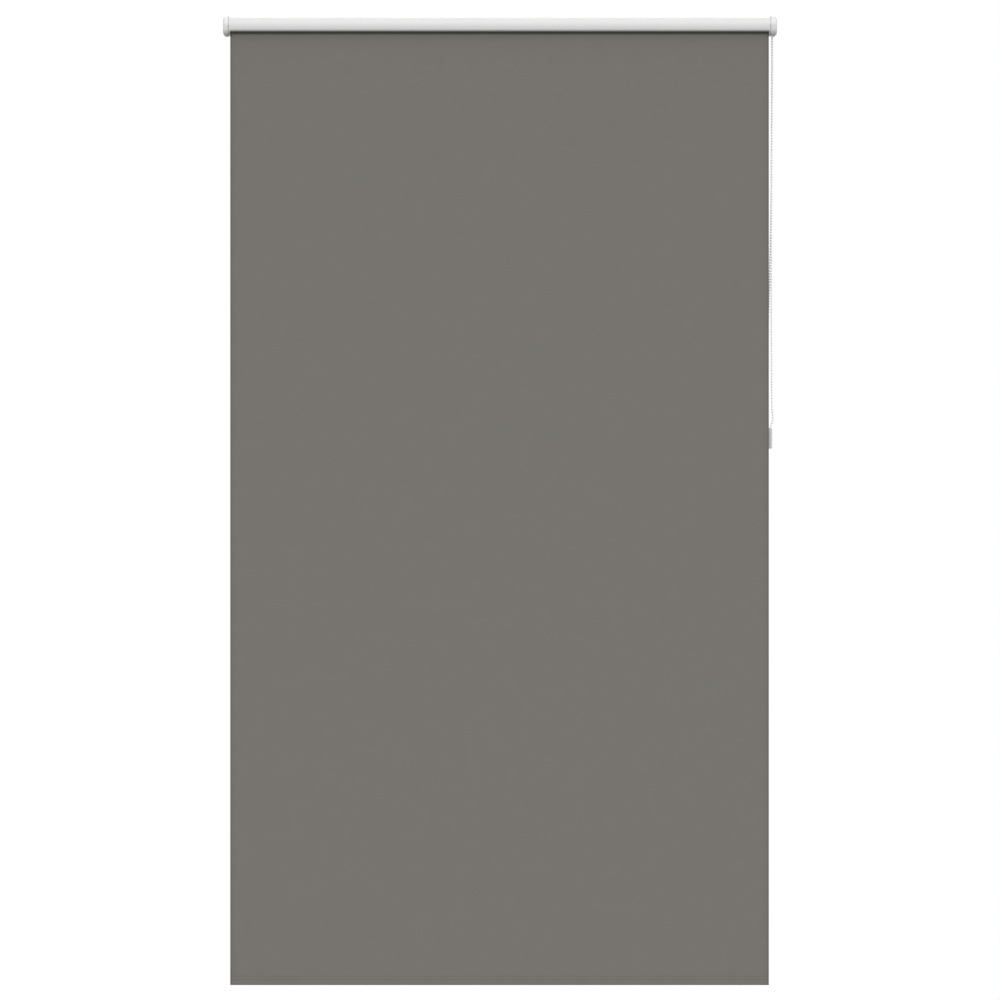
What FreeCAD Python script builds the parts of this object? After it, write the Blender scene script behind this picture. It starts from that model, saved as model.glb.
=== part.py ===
import FreeCAD, Part
import math
import os
import re
import Sketcher

# Roller blind, lowered. Origin on the wall, level with the roller axis and midway between the wall
# clips. +X is to the right seen from the room, +Y runs into the wall, +Z is up. Millimetres.

SIZES = {
    # whole blind
    "overall_width": 1200,
    "blind_bottom": 2075.5,
    "axis_depth": 27,
    "left_cap_depth": 15,
    "right_cap_depth": 17,
    "cloth_gap": 0.6,
    # head box
    "head_top": 21,
    "sheet_wall": 1.2,
    "rail_back": 5,
    "rail_bottom": 17.2,
    "hook_depth": 1.6,
    "hook_top": 14.4,
    "hook_bottom": 9.5,
    "shelf_drop": 1.4,
    "shelf_start": 12.6,
    "shelf_front": 15.5,
    "port_depth": 8.2,
    "port_top": 16.2,
    "port_bottom": 12.5,
    "port_radius": 2.4,
    "port_bore": 1.25,
    "fascia_start": 12.9,
    "fascia_front": 52.5,
    "fascia_bottom": 9.8,
    "fascia_radius": 22,
    "lip_radius": 5,
    "lip_tip": 47.3,
    "hook_leg": 15.8,
    "hook_toe": 13.5,
    "toe_bottom": 17,
    "toe_thick": 1.1,
    # end caps
    "cap_back": 1,
    "cap_front": 54.5,
    "cap_top": 24.5,
    "cap_bottom": 19.3,
    "cap_front_radius": 23,
    "cap_lower_radius": 15,
    "cap_rear_radius": 8,
    "cap_dome": 7,
    "cap_wall": 1.8,
    "cap_seam": 1.4,
    "plate_thick": 2.5,
    "plate_inset": 1,
    "plate_edge": 0.8,
    "rim_height": 3,
    "rim_thick": 0.8,
    "rim_play": 1.4,
    "slot_front": 41,
    "slot_rear": 13,
    "slot_width": 6.5,
    # wall clips
    "clip_spacing": 900,
    "clip_width": 28,
    "clip_window": 11,
    "clip_bottom": 18.8,
    "clip_toe": 8,
    "clip_toe_top": 15.6,
    "clip_finger": 4.5,
    "clip_finger_top": 13.1,
    "clip_jog": 6.8,
    "wall_hole_spacing": 16,
    "wall_hole_radius": 2.5,
    # roller
    "tube_radius": 12.5,
    "tube_wall": 1,
    "tube_setback": 0.9,
    "key_width": 2,
    "key_height": 1.5,
    "plug_radius": 11.4,
    "flange_radius": 12.3,
    "flange_thick": 1.2,
    "tape_thick": 0.2,
    "roll_inner": 12.75,
    "roll_outer": 13.2,
    "cloth_thick": 0.3,
    "cloth_clear": 0.25,
    # clutch, measured in from the outer face of the right cap
    "core_radius": 4.5,
    "core_length": 59,
    "core_base_radius": 16,
    "core_base_face": 3.6,
    "core_base_thick": 2,
    "post_circle": 17.5,
    "post_radius": 3.6,
    "post_angle": 60,
    "screw_radius": 1.2,
    "screw_hole": 1.65,
    "countersink": 1.4,
    "run_fit": 0.05,
    "wheel_centre": 9.8,
    "wheel_width": 6.2,
    "wheel_radius": 11.6,
    "wheel_groove": 8.9,
    "wheel_land": 0.6,
    "seat_play": 0.4,
    "sleeve_radius": 8,
    "sleeve_bore": 6.5,
    "sleeve_end": 34,
    "sleeve_hole": 8.4,
    "spring_wire": 1,
    "spring_radius": 5.1,
    "spring_pitch": 1.06,
    "spring_length": 6.4,
    # idle end, measured in from the outer face of the left cap
    "bush_radius": 5.5,
    "bush_flange": 7.5,
    "bush_depth": 8,
    "pin_radius": 3,
    "pin_tip": 9,
    "pin_collar": 20.8,
    "collar_thick": 2.5,
    "collar_radius": 5,
    "pin_tail": 2.5,
    "pin_end": 55,
    "plug_bore": 5.2,
    "plug_shoulder": 20.5,
    "plug_end": 51,
    "cap_length": 4,
    "coil_wire": 0.7,
    "coil_radius": 3.6,
    "coil_pitch": 2.6,
    # bottom rail
    "bar_height": 10.5,
    "bar_depth": 4,
    "bar_wall": 1,
    "bar_round": 1.95,
    "weld_height": 7.5,
    "hem_height": 22,
    "hem_play": 0.1,
    "hem_shoulder": 4,
    "bar_plug_head": 2,
    "bar_plug_depth": 12,
    # ball chain and its weight
    "chain_radius": 2.25,
    "thread_radius": 0.6,
    "bead_pitch": 6,
    "wheel_beads": 10,
    "chain_mouth": 16,
    "weight_across": 581.8,
    "weight_top": 868,
    "weight_height": 45,
    "weight_width": 17,
    "weight_depth": 10,
    "weight_wall": 1.4,
    "weight_round": 3,
    "weight_edge": 2,
    "chain_entry": 9,
    "entry_radius": 2.75,
    "slug_top": 18,
    "joiner_radius": 3.4,
    "joiner_bore": 2.6,
    "joiner_length": 13,
}

doc = FreeCAD.newDocument("RollerBlind")
sheet = doc.addObject("Spreadsheet::Sheet", "Sizes")
for row, (alias, number) in enumerate(SIZES.items(), start=1):
    sheet.set(f"A{row}", alias)
    sheet.set(f"B{row}", str(number))
    sheet.setAlias(f"B{row}", alias)
gauge = doc.addObject("App::FeaturePython", "Gauge")
gauge.addProperty("App::PropertyFloat", "Reading")
doc.recompute()

SHEET_WORD = re.compile("|".join(sorted((rf"\b{alias}\b" for alias in SIZES), key=len, reverse=True)))

# Places along X that several pieces share, as formulas in the sheet's words.
RIGHT = "(overall_width / 2)"
LEFT = "(-overall_width / 2)"
RIGHT_PLATE = f"({RIGHT} - right_cap_depth)"
LEFT_PLATE = f"({LEFT} + left_cap_depth)"
CLOTH_RIGHT = f"({RIGHT_PLATE} - cloth_gap)"
CLOTH_LEFT = f"({LEFT_PLATE} + cloth_gap)"
TUBE_RIGHT = f"({CLOTH_RIGHT} - tube_setback)"
TUBE_LEFT = f"({CLOTH_LEFT} + tube_setback)"
PITCH_RADIUS = "(wheel_beads * bead_pitch / (2 * pi))"
HEM_TOP = "(hem_height - blind_bottom)"
CLOTH_BACK = "(-axis_depth - roll_outer - cloth_clear)"
BAR_MIDDLE = f"({CLOTH_BACK} + hem_play + bar_depth / 2)"
PLUG_GRIP = "(bar_wall + hem_play)"

nodes = []


def formula(text):
    """The text with each of the sheet's words turned into a reference to its cell."""
    return SHEET_WORD.sub(lambda word: "Sizes." + word.group(), str(text))


def bind(thing, name, text):
    thing.setExpression(name, formula(text))


def measure(text):
    """The formula's value in millimetres."""
    bind(gauge, "Reading", text)
    gauge.recompute()
    return gauge.Reading


def place(thing, x="0", y="0", z="0"):
    for axis, text in zip("xyz", (x, y, z)):
        if text != "0":
            bind(thing, f"Placement.Base.{axis}", text)


def keep(thing, label):
    """List the object as a sub-part of the blind, under its name."""
    thing.Label = label
    nodes.append(thing)
    return thing


# ---- PartDesign helpers ----


def new_body(name, x="0", y="0", z="0"):
    body = doc.addObject("PartDesign::Body", name)
    place(body, x, y, z)
    return body


def new_sketch(body, plane, offset="0"):
    sketch = body.newObject("Sketcher::SketchObject", "Sketch")
    origin = [item for item in body.Origin.OriginFeatures if item.Role == plane][0]
    sketch.AttachmentSupport = [(origin, "")]
    sketch.MapMode = "FlatFace"
    bind(sketch, "AttachmentOffset.Base.z", offset)
    return sketch


def add_distance(sketch, kind, line, corner, text):
    """Bind one coordinate of a point of a line, arc or circle to a formula."""
    size = measure(text)
    if size == 0:
        axis = -2 if kind == "DistanceX" else -1
        sketch.addConstraint(Sketcher.Constraint("PointOnObject", line, corner, axis))
        return
    index = sketch.addConstraint(Sketcher.Constraint(kind, -1, 1, line, corner, size))
    name = f"{kind}_{line}_{corner}"
    sketch.renameConstraint(index, name)
    bind(sketch, f"Constraints.{name}", text)


def pin_point(sketch, line, corner, across, up):
    add_distance(sketch, "DistanceX", line, corner, across)
    add_distance(sketch, "DistanceY", line, corner, up)


def add_outline(sketch, corners):
    """A closed outline of straight lines through corners given as pairs of formulas."""
    count = len(corners)
    start = sketch.GeometryCount
    ring = [FreeCAD.Vector(measure(across), measure(up), 0) for across, up in corners]
    for i in range(count):
        sketch.addGeometry(Part.LineSegment(ring[i], ring[(i + 1) % count]), False)
    for i in range(count):
        after = start + (i + 1) % count
        sketch.addConstraint(Sketcher.Constraint("Coincident", start + i, 2, after, 1))
    for i, (across, up) in enumerate(corners):
        pin_point(sketch, start + i, 1, across, up)


def add_rounded(sketch, corners):
    """A rectangle with rounded corners, anticlockwise from its upper right one.

    Each corner is (across, up, radius, way to the left or right, way down or up to the arc's centre).
    """
    joints = []
    for i, (across, up, radius, sideways, upwards) in enumerate(corners):
        level = (f"{across} {sideways} {radius}", up)
        upright = (across, f"{up} {upwards} {radius}")
        joints.append((upright, level) if i % 2 == 0 else (level, upright))
    places = [[FreeCAD.Vector(measure(x), measure(y), 0) for x, y in pair] for pair in joints]
    for i, (first, last) in enumerate(places):
        sketch.addGeometry(Part.LineSegment(last, places[(i + 1) % 4][0]), False)
        pin_point(sketch, i, 1, *joints[i][1])
        pin_point(sketch, i, 2, *joints[(i + 1) % 4][0])
    for i, (across, up, radius, sideways, upwards) in enumerate(corners):
        middle_up = f"{up} {upwards} {radius}"
        centre = FreeCAD.Vector(measure(f"{across} {sideways} {radius}"), measure(middle_up), 0)
        first, last = places[i]
        angles = [math.atan2((end - centre).y, (end - centre).x) for end in (first, last)]
        circle = Part.Circle(centre, FreeCAD.Vector(0, 0, 1), (first - centre).Length)
        arc = sketch.addGeometry(Part.ArcOfCircle(circle, *angles), False)
        sketch.addConstraint(Sketcher.Constraint("Coincident", (i - 1) % 4, 2, arc, 1))
        sketch.addConstraint(Sketcher.Constraint("Coincident", i, 1, arc, 2))
        add_distance(sketch, "DistanceX", arc, 3, f"{across} {sideways} {radius}")


def add_circle(sketch, radius, across="0", up="0"):
    centre = FreeCAD.Vector(measure(across), measure(up), 0)
    circle = Part.Circle(centre, FreeCAD.Vector(0, 0, 1), measure(radius))
    index = sketch.addGeometry(circle, False)
    pin_point(sketch, index, 3, across, up)
    size = sketch.addConstraint(Sketcher.Constraint("Radius", index, measure(radius)))
    sketch.renameConstraint(size, f"Radius_{index}")
    bind(sketch, f"Constraints.Radius_{index}", radius)


def add_feature(body, kind, name, sketch, length, backwards=False):
    feature = body.newObject(kind, name)
    feature.Profile = sketch
    bind(feature, "Length", length)
    feature.Reversed = backwards
    doc.recompute()
    return feature


def pad(body, sketch, length, backwards=False):
    return add_feature(body, "PartDesign::Pad", "Pad", sketch, length, backwards)


def pocket(body, sketch, length, forwards=False):
    """Cut the sketch's outline, against its plane's normal unless forwards."""
    before = body.Shape.Volume
    feature = add_feature(body, "PartDesign::Pocket", "Pocket", sketch, length, forwards)
    if not body.Shape.Volume < before - 1e-6:
        raise ValueError(f"{body.Name}: a pocket cuts nothing")
    return feature


def revolve(body, sketch, axis="H_Axis"):
    feature = body.newObject("PartDesign::Revolution", "Revolution")
    feature.Profile = sketch
    feature.ReferenceAxis = (sketch, [axis])
    feature.Angle = 360
    doc.recompute()
    return feature


def dress(body, kind, size_name, wanted, size):
    """Fillet or chamfer the edges of the body for which wanted(edge) is true."""
    base = body.Tip
    names = [f"Edge{i}" for i, edge in enumerate(base.Shape.Edges, start=1) if wanted(edge)]
    if not names:
        raise ValueError(f"{body.Name}: no edge to dress")
    feature = body.newObject(kind, "Dress")
    feature.Base = (base, names)
    bind(feature, size_name, size)
    doc.recompute()
    return feature


def fillet(body, wanted, radius):
    return dress(body, "PartDesign::Fillet", "Radius", wanted, radius)


def chamfer(body, wanted, size):
    return dress(body, "PartDesign::Chamfer", "Size", wanted, size)


def swept_corners(sketch, indexes):
    """A test for the edges that a pad or pocket of the sketch made from the numbered corners."""
    normal = sketch.Placement.Rotation.multVec(FreeCAD.Vector(0, 0, 1))
    points = [sketch.Placement.multVec(sketch.Geometry[i].StartPoint) for i in indexes]

    def wanted(edge):
        ends = [vertex.Point for vertex in edge.Vertexes]
        if len(ends) != 2:
            return False
        return any(all((end - point).cross(normal).Length < 1e-4 for end in ends) for point in points)

    return wanted


def at_level(axis, level):
    """A test for the edges that lie in the plane where the coordinate equals level."""

    def wanted(edge):
        box = edge.BoundBox
        low, high = getattr(box, f"{axis}Min"), getattr(box, f"{axis}Max")
        return abs(low - level) < 1e-4 and abs(high - level) < 1e-4

    return wanted


def turned(label, corners, x="0", y="-axis_depth", z="0"):
    """A piece turned about the X direction: corners are (distance along X, radius)."""
    body = new_body(label, x, y, z)
    sketch = new_sketch(body, "XZ_Plane")
    add_outline(sketch, corners)
    revolve(body, sketch)
    return body


def boxed_outline(low, bottom, high, top):
    return [(low, bottom), (high, bottom), (high, top), (low, top)]


# ---- Head box ----


def make_back_rail():
    body = new_body("back_rail")
    profile = new_sketch(body, "YZ_Plane", LEFT_PLATE)
    inner = "(-rail_back - sheet_wall)"
    lip = "(-hook_depth - sheet_wall)"
    shelf = "(head_top - shelf_drop)"
    add_outline(profile, [
        ("-rail_back", "head_top"),
        ("-rail_back", "hook_top"),
        ("-hook_depth", "hook_top"),
        ("-hook_depth", "hook_bottom"),
        (lip, "hook_bottom"),
        (lip, "hook_top - sheet_wall"),
        ("-rail_back", "hook_top - sheet_wall"),
        ("-rail_back", "-rail_bottom"),
        (inner, "-rail_bottom"),
        (inner, "head_top - sheet_wall"),
        ("sheet_wall - shelf_start", "head_top - sheet_wall"),
        ("sheet_wall - shelf_start", f"{shelf} - sheet_wall"),
        ("-shelf_front", f"{shelf} - sheet_wall"),
        ("-shelf_front", shelf),
        ("-shelf_start", shelf),
        ("-shelf_start", "head_top"),
    ])
    length = f"{RIGHT_PLATE} - {LEFT_PLATE}"
    pad(body, profile, length)
    for radius, operation in (("port_radius", pad), ("port_bore", pocket)):
        ports = new_sketch(body, "YZ_Plane", LEFT_PLATE)
        add_circle(ports, radius, "-port_depth", "port_top")
        add_circle(ports, radius, "-port_depth", "-port_bottom")
        if operation is pad:
            pad(body, ports, length)
        else:
            pocket(body, ports, length, forwards=True)
    keep(body, "back_rail")


def make_fascia():
    body = new_body("fascia")
    profile = new_sketch(body, "YZ_Plane", LEFT_PLATE)
    under = "(head_top - sheet_wall)"
    inside = "(sheet_wall - fascia_front)"
    leg = "(-hook_leg - sheet_wall)"
    add_outline(profile, [
        ("-fascia_start", "head_top"),
        ("-fascia_front", "head_top"),
        ("-fascia_front", "-fascia_bottom"),
        ("-lip_tip", "-fascia_bottom"),
        ("-lip_tip", "sheet_wall - fascia_bottom"),
        (inside, "sheet_wall - fascia_bottom"),
        (inside, under),
        (leg, under),
        (leg, "toe_bottom"),
        ("-hook_toe", "toe_bottom"),
        ("-hook_toe", "toe_bottom + toe_thick"),
        ("-hook_leg", "toe_bottom + toe_thick"),
        ("-hook_leg", under),
        ("-fascia_start", under),
    ])
    pad(body, profile, f"{RIGHT_PLATE} - {LEFT_PLATE}")
    fillet(body, swept_corners(profile, [1]), "fascia_radius")
    fillet(body, swept_corners(profile, [6]), "fascia_radius - sheet_wall")
    fillet(body, swept_corners(profile, [2]), "lip_radius")
    fillet(body, swept_corners(profile, [5]), "lip_radius - sheet_wall")
    keep(body, "fascia")


# ---- End caps ----


def cap_outline(body, start, inset):
    """A sketch of the caps' side view, set in from its edge all round."""
    sketch = new_sketch(body, "YZ_Plane", start)
    rear, front = f"(-cap_back - {inset})", f"({inset} - cap_front)"
    bottom, top = f"({inset} - cap_bottom)", f"(cap_top - {inset})"
    add_rounded(sketch, [
        (rear, top, f"(cap_rear_radius - {inset})", "-", "-"),
        (front, top, f"(cap_front_radius - {inset})", "+", "-"),
        (front, bottom, f"(cap_lower_radius - {inset})", "+", "+"),
        (rear, bottom, f"(cap_rear_radius - {inset})", "-", "+"),
    ])
    return sketch


def make_side_plate(label, face, sign):
    """One side plate, standing outwards from its inner face at x = face."""
    body = new_body(label)
    outwards = sign < 0
    outer = f"{face} + {sign} * plate_thick"
    rim_inset = "(cap_wall + rim_play)"
    rim = cap_outline(body, outer, rim_inset)
    pad(body, rim, "rim_height", outwards)
    hollow_inset = "(cap_wall + rim_play + rim_thick)"
    hollow = cap_outline(body, f"{outer} + {sign} * rim_height", hollow_inset)
    pocket(body, hollow, "rim_height", outwards)
    outline = cap_outline(body, face, "plate_inset")
    pad(body, outline, "plate_thick", outwards)
    fillet(body, at_level("X", measure(face)), "plate_edge")
    holes = new_sketch(body, "YZ_Plane", face)
    add_circle(holes, "sleeve_hole" if sign > 0 else "bush_radius", "-axis_depth")
    add_circle(holes, "screw_hole", "-port_depth", "port_top")
    add_circle(holes, "screw_hole", "-port_depth", "-port_bottom")
    pocket(body, holes, "plate_thick", sign > 0)
    return keep(body, label)


def make_right_side_plate():
    body = make_side_plate("right_side_plate", RIGHT_PLATE, 1)
    screws = new_sketch(body, "YZ_Plane", RIGHT_PLATE)
    for side in ("-", "+"):
        add_circle(screws, "screw_hole", f"-axis_depth {side} post_circle * cos(post_angle)",
                   "post_circle * sin(post_angle)")
    pocket(body, screws, "plate_thick", forwards=True)
    post_height = measure("post_circle * sin(post_angle)")
    on_face = at_level("X", measure(RIGHT_PLATE))

    def screw_mouth(edge):
        return on_face(edge) and edge.Closed and abs(edge.CenterOfMass.z - post_height) < 0.1

    chamfer(body, screw_mouth, "countersink")
    gap = new_sketch(body, "YZ_Plane", f"{RIGHT_PLATE} + plate_thick")
    add_outline(gap, boxed_outline("-slot_front", "-cap_bottom - 1", "-slot_rear", "-slot_rear"))
    pocket(body, gap, "rim_height", forwards=True)


def make_end_cover(label, outer, plate, sign):
    """One domed shell, open towards its side plate across a narrow seam."""
    body = new_body(label)
    mouth = f"({plate} + {sign} * (plate_thick + cap_seam))"
    outline = cap_outline(body, mouth, "0")
    pad(body, outline, f"{sign} * ({outer} - {mouth})", sign < 0)
    hollow = cap_outline(body, mouth, "cap_wall")
    pocket(body, hollow, f"{sign} * ({outer} - {mouth}) - cap_wall", sign > 0)
    fillet(body, at_level("X", measure(f"{outer} - {sign} * cap_wall")), "cap_dome - cap_wall")
    fillet(body, at_level("X", measure(outer)), "cap_dome")
    return keep(body, label)


def make_right_end_cover():
    body = make_end_cover("right_end_cover", RIGHT, RIGHT_PLATE, 1)
    mouth = f"({RIGHT_PLATE} + plate_thick + cap_seam)"
    slot = new_sketch(body, "XY_Plane", "-cap_bottom - 1")
    add_outline(slot, boxed_outline(f"{mouth} - 1", "-slot_front", f"{mouth} + slot_width", "-slot_rear"))
    pocket(body, slot, "cap_wall + 2", forwards=True)
    fillet(body, swept_corners(slot, [1, 2]), "sheet_wall")


# ---- Wall clips ----


def make_wall_clip(label, sign):
    """One bent steel clip: two fingers hold the rail's rear hook and a toe holds its lower edge."""
    middle = f"({sign} * clip_spacing / 2)"
    body = new_body(label, x=middle)
    profile = new_sketch(body, "YZ_Plane", "-clip_width / 2")
    heel = "(sheet_wall - clip_bottom)"
    add_outline(profile, [
        ("0", "clip_finger_top"),
        ("0", "-clip_bottom"),
        ("-clip_toe", "-clip_bottom"),
        ("-clip_toe", "-clip_toe_top"),
        ("sheet_wall - clip_toe", "-clip_toe_top"),
        ("sheet_wall - clip_toe", heel),
        ("-sheet_wall", heel),
        ("-sheet_wall", "clip_jog"),
        ("-clip_finger", "clip_jog"),
        ("-clip_finger", "clip_finger_top"),
        ("sheet_wall - clip_finger", "clip_finger_top"),
        ("sheet_wall - clip_finger", "clip_jog + sheet_wall"),
        ("-sheet_wall", "clip_jog + sheet_wall"),
        ("-sheet_wall", "clip_finger_top"),
    ])
    pad(body, profile, "clip_width")
    window = new_sketch(body, "XZ_Plane", "sheet_wall")
    add_outline(window, boxed_outline("-clip_window / 2", "clip_jog - 1", "clip_window / 2",
                                      "clip_finger_top + 1"))
    pocket(body, window, "clip_toe", forwards=True)
    holes = new_sketch(body, "XZ_Plane", "sheet_wall")
    for side in ("", "-"):
        add_circle(holes, "wall_hole_radius", "0", f"{side}wall_hole_spacing / 2")
    pocket(body, holes, "sheet_wall")
    keep(body, label)


# ---- Clutch, at the right end ----


def make_clutch_core():
    inner = f"({RIGHT} - core_length)"
    face = f"({RIGHT} - core_base_face - core_base_thick)"
    body = turned("clutch_core", [
        (inner, "port_bore"),
        (inner, "core_radius"),
        (face, "core_radius"),
        (face, "core_base_radius"),
        (f"{RIGHT} - core_base_face", "core_base_radius"),
        (f"{RIGHT} - core_base_face", "0"),
        (f"{inner} + 12", "0"),
        (f"{inner} + 12", "port_bore"),
    ])
    start = f"({RIGHT_PLATE} + plate_thick)"
    for radius, operation in (("post_radius", pad), ("port_bore", pocket)):
        posts = new_sketch(body, "YZ_Plane", start)
        for side in ("-", ""):
            add_circle(posts, radius, f"{side}post_circle * cos(post_angle)",
                       "post_circle * sin(post_angle)")
        if operation is pad:
            pad(body, posts, f"{RIGHT} - core_base_face - {start}")
        else:
            pocket(body, posts, "8", forwards=True)
    keep(body, "clutch_core")


def make_core_fixings():
    end = f"({RIGHT} - core_length)"
    face = f"({end} - sheet_wall)"
    washer = turned("core_washer", boxed_outline(face, "screw_hole", end, "plate_thick + core_radius"))
    keep(washer, "core_washer")
    screw = turned("core_screw", [
        (f"{face} - 1.8", "0"),
        (f"{face} - 1.8", "port_radius - 0.8"),
        (f"{face} - 1.2", "port_radius"),
        (face, "port_radius"),
        (face, "screw_radius"),
        (f"{end} + 10", "screw_radius"),
        (f"{end} + 10.8", "0"),
    ])
    keep(screw, "core_screw")


def make_chain_wheel():
    middle = f"({RIGHT} - wheel_centre)"
    half = "wheel_width / 2"
    body = turned("chain_wheel", [
        (f"{middle} + {half}", "core_radius + run_fit"),
        (f"{middle} + {half}", "wheel_radius"),
        (f"{middle} + {half} - wheel_land", "wheel_radius"),
        (f"{middle} + 0.9", "wheel_groove"),
        (f"{middle} - 0.9", "wheel_groove"),
        (f"{middle} - {half} + wheel_land", "wheel_radius"),
        (f"{middle} - {half}", "wheel_radius"),
        (f"{middle} - {half}", "sleeve_radius"),
        (f"{RIGHT} - sleeve_end", "sleeve_radius"),
        (f"{RIGHT} - sleeve_end", "sleeve_bore"),
        (f"{middle} - 1.5", "sleeve_bore"),
        (f"{middle} - 1.5", "core_radius + run_fit"),
    ])
    seat = new_sketch(body, "XZ_Plane", "wheel_radius + 1")
    add_circle(seat, "chain_radius + seat_play", middle)
    cut = pocket(body, seat, f"wheel_radius + 1 - {PITCH_RADIUS} + chain_radius + run_fit")
    pattern = body.newObject("PartDesign::PolarPattern", "Seats")
    pattern.Originals = [cut]
    axis = [item for item in body.Origin.OriginFeatures if item.Role == "X_Axis"][0]
    pattern.Axis = (axis, [""])
    pattern.Angle = 360
    bind(pattern, "Occurrences", "wheel_beads")
    body.Tip = pattern
    doc.recompute()
    keep(body, "chain_wheel")


def make_coil(name, start, length, radius, wire, pitch):
    """A helical spring about the roller axis, from x = start towards +X."""
    body = new_body(name, y="-axis_depth")
    sketch = new_sketch(body, "XZ_Plane")
    add_circle(sketch, f"{wire} / 2", start, radius)
    coil = body.newObject("PartDesign::AdditiveHelix", "Coil")
    coil.Profile = sketch
    coil.ReferenceAxis = (sketch, ["H_Axis"])
    coil.Mode = "pitch-height-angle"
    bind(coil, "Pitch", pitch)
    bind(coil, "Height", length)
    doc.recompute()
    return body


def make_group(label, members):
    group = doc.addObject("Part::Compound", label)
    group.Links = members
    keep(group, label)


def make_wrap_springs():
    starts = (f"{RIGHT} - sleeve_end + 2", f"{RIGHT} - sleeve_end + 11")
    coils = [make_coil(f"wrap_spring_{i}", start, "spring_length", "spring_radius", "spring_wire",
                       "spring_pitch") for i, start in enumerate(starts, start=1)]
    make_group("wrap_springs", coils)


def key_slot(body, start, length):
    """The keyway along the top of a plug, for the rib inside the tube."""
    slot = new_sketch(body, "YZ_Plane", start)
    half = "(key_width / 2 + 0.15)"
    bottom = "tube_radius - tube_wall - key_height - 0.2"
    add_outline(slot, boxed_outline(f"-{half}", bottom, half, "tube_radius"))
    pocket(body, slot, length, forwards=True)


def make_tube_adapter():
    inner = f"({RIGHT} - core_length + 0.5)"
    step = f"({RIGHT} - sleeve_end - 1)"
    outer = f"({TUBE_RIGHT} + flange_thick)"
    body = turned("tube_adapter", [
        (inner, "core_radius + run_fit"),
        (inner, "plug_radius - 1.5"),
        (f"{inner} + 1.5", "plug_radius"),
        (TUBE_RIGHT, "plug_radius"),
        (TUBE_RIGHT, "flange_radius"),
        (outer, "flange_radius"),
        (outer, "sleeve_radius + run_fit"),
        (step, "sleeve_radius + run_fit"),
        (step, "core_radius + run_fit"),
    ])
    key_slot(body, inner, f"{TUBE_RIGHT} - {inner}")
    keep(body, "tube_adapter")


# ---- Screws ----


def make_screws():
    """Pan head screws into the rail's ports, and countersunk ones into the clutch's posts."""
    ends = []
    for side, plate, sign in (("right", RIGHT_PLATE, 1), ("left", LEFT_PLATE, -1)):
        face = f"({plate} + {sign} * plate_thick)"
        for level, height in (("upper", "port_top"), ("lower", "-port_bottom")):
            ends.append(turned(f"end_screw_{side}_{level}", [
                (f"{face} + {sign} * 1.6", "0"),
                (f"{face} + {sign} * 1.6", "port_radius - 0.8"),
                (f"{face} + {sign} * 1", "port_radius"),
                (face, "port_radius"),
                (face, "screw_radius"),
                (f"{face} - {sign} * 15", "screw_radius"),
                (f"{face} - {sign} * 15.8", "0"),
            ], y="-port_depth", z=height))
    make_group("end_plate_screws", ends)
    posts = []
    for name, side in (("front", "-"), ("rear", "+")):
        head = f"({RIGHT_PLATE} + run_fit)"
        posts.append(turned(f"clutch_screw_{name}", [
            (head, "0"),
            (head, "screw_hole + countersink - run_fit"),
            (f"{head} + countersink", "screw_hole - run_fit"),
            (f"{head} + plate_thick", "screw_radius"),
            (f"{head} + 8", "screw_radius"),
            (f"{head} + 8.8", "0"),
        ], y=f"-axis_depth {side} post_circle * cos(post_angle)", z="post_circle * sin(post_angle)"))
    make_group("clutch_screws", posts)


# ---- Roller ----


def make_tube():
    body = new_body("tube", y="-axis_depth")
    length = f"{TUBE_RIGHT} - {TUBE_LEFT}"
    wall = new_sketch(body, "YZ_Plane", TUBE_LEFT)
    add_circle(wall, "tube_radius")
    add_circle(wall, "tube_radius - tube_wall")
    pad(body, wall, length)
    rib = new_sketch(body, "YZ_Plane", TUBE_LEFT)
    base = "tube_radius - tube_wall"
    add_outline(rib, boxed_outline("-key_width / 2", f"{base} - key_height", "key_width / 2",
                                   f"{base} + 0.2"))
    pad(body, rib, length)
    keep(body, "tube")


def ring_sector(label, inner, outer, start, length, angle):
    """A strip that follows a cylinder about the roller axis, through the given angle."""
    pair = []
    for name, radius in (("outer", outer), ("inner", inner)):
        piece = doc.addObject("Part::Cylinder", f"{label}_{name}")
        piece.Placement.Rotation = FreeCAD.Rotation(FreeCAD.Vector(0, 1, 0), 90)
        place(piece, start, "-axis_depth")
        bind(piece, "Radius", radius)
        bind(piece, "Height", length)
        piece.Angle = angle
        pair.append(piece)
    pair[1].Angle = 360
    strip = doc.addObject("Part::Cut", label)
    strip.Base, strip.Tool = pair
    keep(strip, label)


def make_cloth_on_tube():
    ring_sector("tube_tape", "tube_radius", "tube_radius + tape_thick", f"{TUBE_LEFT} + 3",
                f"{TUBE_RIGHT} - {TUBE_LEFT} - 6", 50)
    ring_sector("fabric_roll", "roll_inner", "roll_outer", CLOTH_LEFT, f"{CLOTH_RIGHT} - {CLOTH_LEFT}", 360)


# ---- Idle end, at the left ----


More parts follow.
